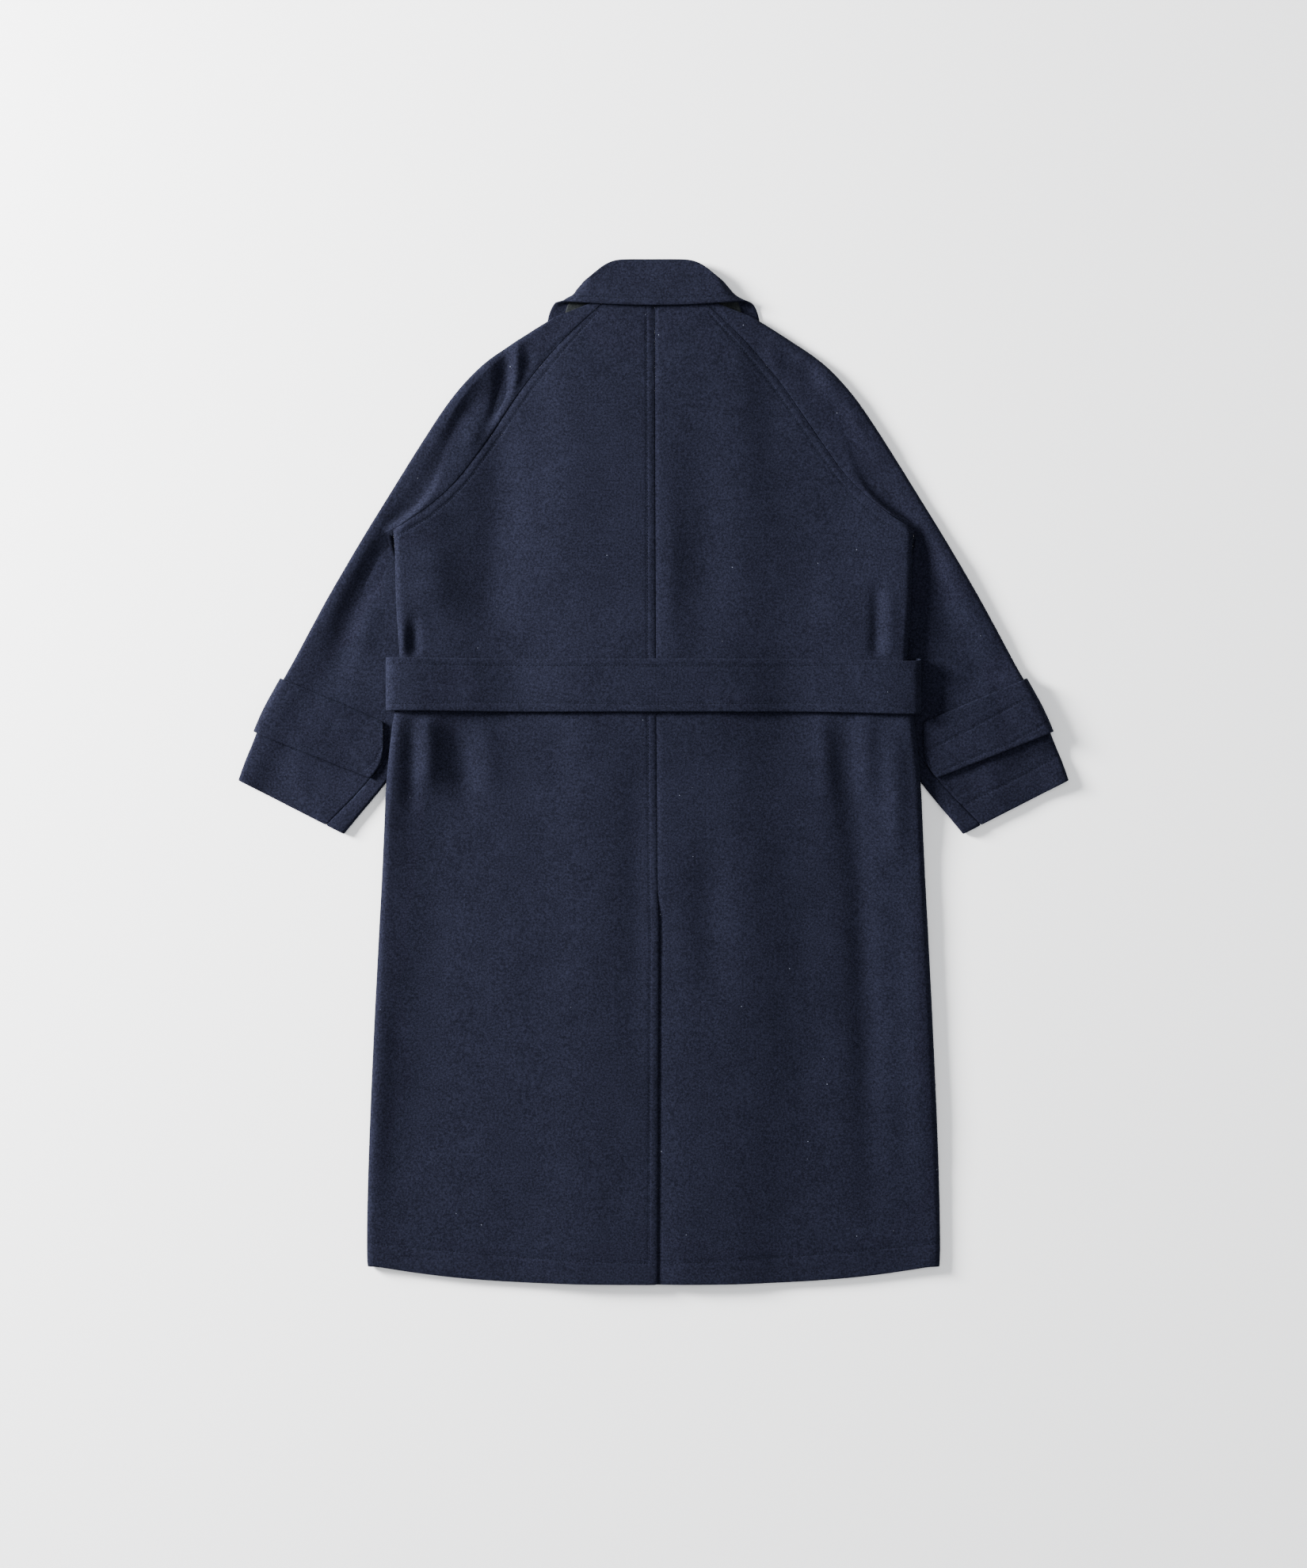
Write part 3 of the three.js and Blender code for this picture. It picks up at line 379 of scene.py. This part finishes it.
VEIN_DARK, VEIN_LIGHT = (0.4, (0.006, 0.007, 0.01)), (0.7, (0.022, 0.022, 0.026))


def new_material(name):
    """A material with its node tree, its shader and the place in the piece that its noises start from."""
    material = bpy.data.materials.new(name)
    material.use_nodes = True
    tree = material.node_tree
    return material, tree, tree.nodes["Principled BSDF"], tree.nodes.new("ShaderNodeTexCoord").outputs["Object"]


def two_colours(tree, factor, low, high):
    """A colour ramp between two ends, each with its place and colour."""
    ramp = tree.nodes.new("ShaderNodeValToRGB")
    for element, (place, colour) in zip(ramp.color_ramp.elements, (low, high)):
        element.position = place
        element.color = (*colour, 1)
    tree.links.new(factor, ramp.inputs["Fac"])
    return ramp.outputs["Color"]


def melton(name, colour, light_colour, sheen, nap=0.9):
    """Felted wool: uneven dark dye, a short nap that catches light at the edges, and pale lint."""
    material, tree, shader, place = new_material(name)
    shader.inputs["Roughness"].default_value = WOOL_ROUGHNESS
    shader.inputs["Specular IOR Level"].default_value = WOOL_SPECULAR
    shader.inputs["Sheen Weight"].default_value = sheen
    shader.inputs["Sheen Roughness"].default_value = SHEEN_ROUGHNESS
    shader.inputs["Sheen Tint"].default_value = SHEEN_TINT

    def noise(scale, detail, roughness):
        node = tree.nodes.new("ShaderNodeTexNoise")
        node.inputs["Scale"].default_value = scale
        node.inputs["Detail"].default_value = detail
        node.inputs["Roughness"].default_value = roughness
        tree.links.new(place, node.inputs["Vector"])
        return node.outputs["Fac"]

    def math_node(operation, first, second):
        node = tree.nodes.new("ShaderNodeMath")
        node.operation = operation
        for socket, value in zip(node.inputs, (first, second)):
            if isinstance(value, (int, float)):
                socket.default_value = value
            else:
                tree.links.new(value, socket)
        return node.outputs[0]

    def mix(first, second, share):
        return math_node("ADD", math_node("MULTIPLY", first, share), math_node("MULTIPLY", second, 1 - share))

    fibre = noise(*FIBRE_NOISE)
    dye = two_colours(tree, mix(fibre, noise(*CLOUD_NOISE), FIBRE_SHARE),
                      (DYE_FROM, [c * DYE_DARK for c in colour]), (DYE_TO, light_colour))
    lint = tree.nodes.new("ShaderNodeTexVoronoi")
    lint.inputs["Scale"].default_value = LINT_SCALE
    tree.links.new(place, lint.inputs["Vector"])
    speck = math_node("MULTIPLY", math_node("LESS_THAN", lint.outputs["Distance"], LINT_SIZE),
                      math_node("GREATER_THAN", noise(*RARE_NOISE), LINT_RARITY))
    blend = tree.nodes.new("ShaderNodeMix")
    blend.data_type = "RGBA"
    tree.links.new(speck, blend.inputs["Factor"])
    tree.links.new(dye, blend.inputs[6])
    blend.inputs[7].default_value = LINT_COLOUR
    tree.links.new(blend.outputs[2], shader.inputs["Base Color"])
    relief = tree.nodes.new("ShaderNodeBump")
    relief.inputs["Strength"].default_value = nap
    relief.inputs["Distance"].default_value = NAP_HEIGHT
    tree.links.new(mix(noise(*TUFT_NOISE), fibre, TUFT_SHARE), relief.inputs["Height"])
    tree.links.new(relief.outputs["Normal"], shader.inputs["Normal"])
    return material


def horn(name):
    """Dark horn with faint veins."""
    material, tree, shader, place = new_material(name)
    shader.inputs["Roughness"].default_value = HORN_ROUGHNESS
    vein = tree.nodes.new("ShaderNodeTexNoise")
    vein.inputs["Scale"].default_value = VEIN_SCALE
    vein.inputs["Detail"].default_value = VEIN_DETAIL
    vein.inputs["Distortion"].default_value = VEIN_DISTORTION
    tree.links.new(place, vein.inputs["Vector"])
    tree.links.new(two_colours(tree, vein.outputs["Fac"], VEIN_DARK, VEIN_LIGHT), shader.inputs["Base Color"])
    return material


NAVY = (0.0033, 0.0037, 0.0084)
NAVY_LIGHT = (0.0106, 0.0116, 0.0226)
CLOTH = melton("navy_melton", NAVY, NAVY_LIGHT, 0.03)
UNDERCOLLAR = melton("undercollar_felt", (0.008, 0.0095, 0.0105), (0.018, 0.020, 0.021), 0.04)
HORN = horn("dark_horn")
THREAD = melton("navy_thread", (0.003, 0.004, 0.008), (0.007, 0.008, 0.014), 0.03, 0.3)


def dress(piece, material):
    piece.data.materials.clear()
    piece.data.materials.append(material)
    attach(piece, BODY)


# Each cloth piece: levels of fineness, the cut's width and length in metres, the cut's area in square metres
PANELS = {
    "back_left": (3, (0.36, 1.18), 0.36),
    "back_right": (3, (0.40, 1.18), 0.37),
    "front_left": (2, (0.47, 1.14), 0.45),
    "front_right": (2, (0.47, 1.14), 0.45),
    "sleeve_top_left": (3, (0.32, 0.66), 0.13),
    "sleeve_top_right": (3, (0.32, 0.66), 0.13),
    "sleeve_under_left": (2, (0.06, 0.36), 0.015),
    "sleeve_under_right": (2, (0.06, 0.36), 0.015),
    "cuff_strap_left": (3, (0.08, 0.20), 0.015),
    "cuff_strap_right": (3, (0.08, 0.20), 0.015),
    "collar_fall": (2, (0.07, 0.52), 0.03),
    "collar_stand": (2, (0.05, 0.45), 0.02),
    "belt": (3, (0.063, 1.34), 0.084),
}
cloth = {}
for name, (levels, flat, area) in PANELS.items():
    piece = soft_copy(name, levels, STRAP_EDGE_CREASE if name.startswith("cuff") else EDGE_CREASE)
    cloth[name] = piece
    if name.startswith("back"):
        shape_upper(piece, name, back_relief, RELIEF_FROM, BACK_RELIEF_FULL)
    elif name.startswith("sleeve_top"):
        shape_upper(piece, name, sleeve_relief, RELIEF_FROM, RELIEF_FULL)
        close_underarm(piece)
    else:
        shape_upper(piece, name, small_relief, RELIEF_FROM, RELIEF_FULL)
    stand = name == "collar_stand"
    dress(piece, UNDERCOLLAR if stand else CLOTH)
    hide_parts(name)


# Stitches: short threads sunk into the cloth, joined into one piece for each cloth piece
STITCH_LENGTH, STITCH_STEP, THREAD_RADIUS, THREAD_LIFT = 2.5, 3.5, 0.3, 0.12
THREAD_SIDES = 5
# Rings of one thread: share of its length, share of its radius and height against its middle
THREAD_RINGS = ((0, 0.35, -0.28), (0.25, 1, 0), (0.75, 1, 0), (1, 0.35, -0.28))
LOOK_DOWN_FROM = 0.2
STITCH_FACING, STITCH_DROP = 0.25, 2


def thread_points(start, end, up):
    """Rings of one thread, thin at both ends."""
    along = (end - start).normalized()
    side = along.cross(up).normalized()
    rise = side.cross(along).normalized()
    rings = []
    for share, size, drop in THREAD_RINGS:
        centre = start.lerp(end, share) + rise * (THREAD_LIFT + drop)
        for k in range(THREAD_SIDES):
            turn = math.tau * k / THREAD_SIDES
            rings.append(centre + (side * math.cos(turn) + rise * math.sin(turn)) * THREAD_RADIUS * size)
    return rings


def thread_faces(first):
    faces = []
    last = len(THREAD_RINGS) - 1
    for ring in range(last):
        for k in range(THREAD_SIDES):
            a, b = first + ring * THREAD_SIDES + k, first + ring * THREAD_SIDES + (k + 1) % THREAD_SIDES
            faces.append((a, b, b + THREAD_SIDES, a + THREAD_SIDES))
    faces.append([first + k for k in reversed(range(THREAD_SIDES))])
    faces.append([first + last * THREAD_SIDES + k for k in range(THREAD_SIDES)])
    return faces


def stitch_rows(name, rows):
    cloth_piece = cloth[name]
    tree = BVHTree.FromPolygons([v.co for v in cloth_piece.data.vertices],
                                [tuple(p.vertices) for p in cloth_piece.data.polygons])
    points, faces = [], []
    for row in rows:
        for (ax, ay), (bx, by) in zip(row, row[1:]):
            length = math.hypot(bx - ax, by - ay)
            count = max(1, round(length / STITCH_STEP))
            for k in range(count):
                ends = []
                middle, half = (k + 0.5) / count, STITCH_LENGTH / 2 / length
                for share in (middle - half, middle + half):
                    x, y = ax + (bx - ax) * share, ay + (by - ay) * share
                    hit, normal, _, _ = tree.ray_cast(Vector((x * MM, y * MM, LOOK_DOWN_FROM)), Vector((0, 0, -1)))
                    if hit is not None and normal.z > STITCH_FACING:
                        ends.append((hit / MM, normal))
                if len(ends) == 2 and abs(ends[0][0].z - ends[1][0].z) < STITCH_DROP:
                    faces += thread_faces(len(points))
                    points += thread_points(ends[0][0], ends[1][0], ends[0][1])
    if not points:
        return
    mesh = bpy.data.meshes.new(name + "_stitches")
    mesh.from_pydata([tuple(p * MM) for p in points], [], faces)
    mesh.polygons.foreach_set("use_smooth", [True] * len(mesh.polygons))
    threads = bpy.data.objects.new(name + "_stitches", mesh)
    bpy.context.scene.collection.objects.link(threads)
    dress(threads, THREAD)


for name in sorted(cloth):
    stitch_rows(name, rows_on(name))

# Buttons keep their CAD shape
BUTTON_COUNT = 6
for number in range(1, BUTTON_COUNT + 1):
    button = nodes["button_%d" % number]
    for slot_index in range(len(button.data.materials)):
        button.material_slots[slot_index].material = HORN
    if not button.data.materials:
        button.data.materials.append(HORN)


# Camera straight above the middle of the photograph, over a plain floor
CAMERA_DISTANCE, CAMERA_REACH = 3.5, 50
COAT_MIDDLE_HEIGHT = 0.012
VIEW_HEIGHT = PHOTO_HEIGHT * PIXEL_MM * MM
FLOOR_REACH, FLOOR_HEIGHT = 9, -0.0004
camera_data = bpy.data.cameras.new("camera")
camera = bpy.data.objects.new("camera", camera_data)
bpy.context.scene.collection.objects.link(camera)
camera.location = (0, at_pixel(PHOTO_MIDDLE_X, PHOTO_HEIGHT / 2)[1] * MM, CAMERA_DISTANCE)
camera_data.lens = camera_data.sensor_width * (CAMERA_DISTANCE - COAT_MIDDLE_HEIGHT) / VIEW_HEIGHT
camera_data.clip_end = CAMERA_REACH
bpy.context.scene.camera = camera

floor_mesh = bpy.data.meshes.new("floor")
floor_mesh.from_pydata([(x * FLOOR_REACH, y * FLOOR_REACH, 0) for x, y in ((-1, -1), (1, -1), (1, 1), (-1, 1))],
                       [], [(0, 1, 2, 3)])
floor = bpy.data.objects.new("floor", floor_mesh)
bpy.context.scene.collection.objects.link(floor)
floor.location.z = FLOOR_HEIGHT
floor_material = bpy.data.materials.new("floor")
floor_material.use_nodes = True
floor_shader = floor_material.node_tree.nodes["Principled BSDF"]
floor_shader.inputs["Base Color"].default_value = (0.99, 0.99, 0.99, 1)
floor_shader.inputs["Roughness"].default_value = 0.9
floor_shader.inputs["Specular IOR Level"].default_value = 0.0
floor_mesh.materials.append(floor_material)

# Lights: a low one from the left that models the creases, and two soft ones. Place, size and watts of each
LIGHTS = {
    "key": ((-3.3, 1.3, 1.35), (1.1, 1.1), 1050),
    "fill": ((2.4, -0.6, 3.0), (2.4, 2.4), 30),
    "over": ((0, 0.4, 4.6), (3.0, 3.0), 90),
}
ROOM_COLOUR, ROOM_STRENGTH = (0.9, 0.94, 1, 1), 0.5


def area_light(name, place, size, power):
    data = bpy.data.lights.new(name, "AREA")
    data.shape = "RECTANGLE"
    data.size, data.size_y = size
    data.energy = power
    light = bpy.data.objects.new(name, data)
    bpy.context.scene.collection.objects.link(light)
    light.location = place
    light.rotation_mode = "QUATERNION"
    light.rotation_quaternion = (-Vector(place)).to_track_quat("-Z", "Y")


for light_name, (place, size, power) in LIGHTS.items():
    area_light(light_name, place, size, power)
world = bpy.data.worlds.new("room")
world.use_nodes = True
world.node_tree.nodes["Background"].inputs["Color"].default_value = ROOM_COLOUR
world.node_tree.nodes["Background"].inputs["Strength"].default_value = ROOM_STRENGTH
bpy.context.scene.world = world
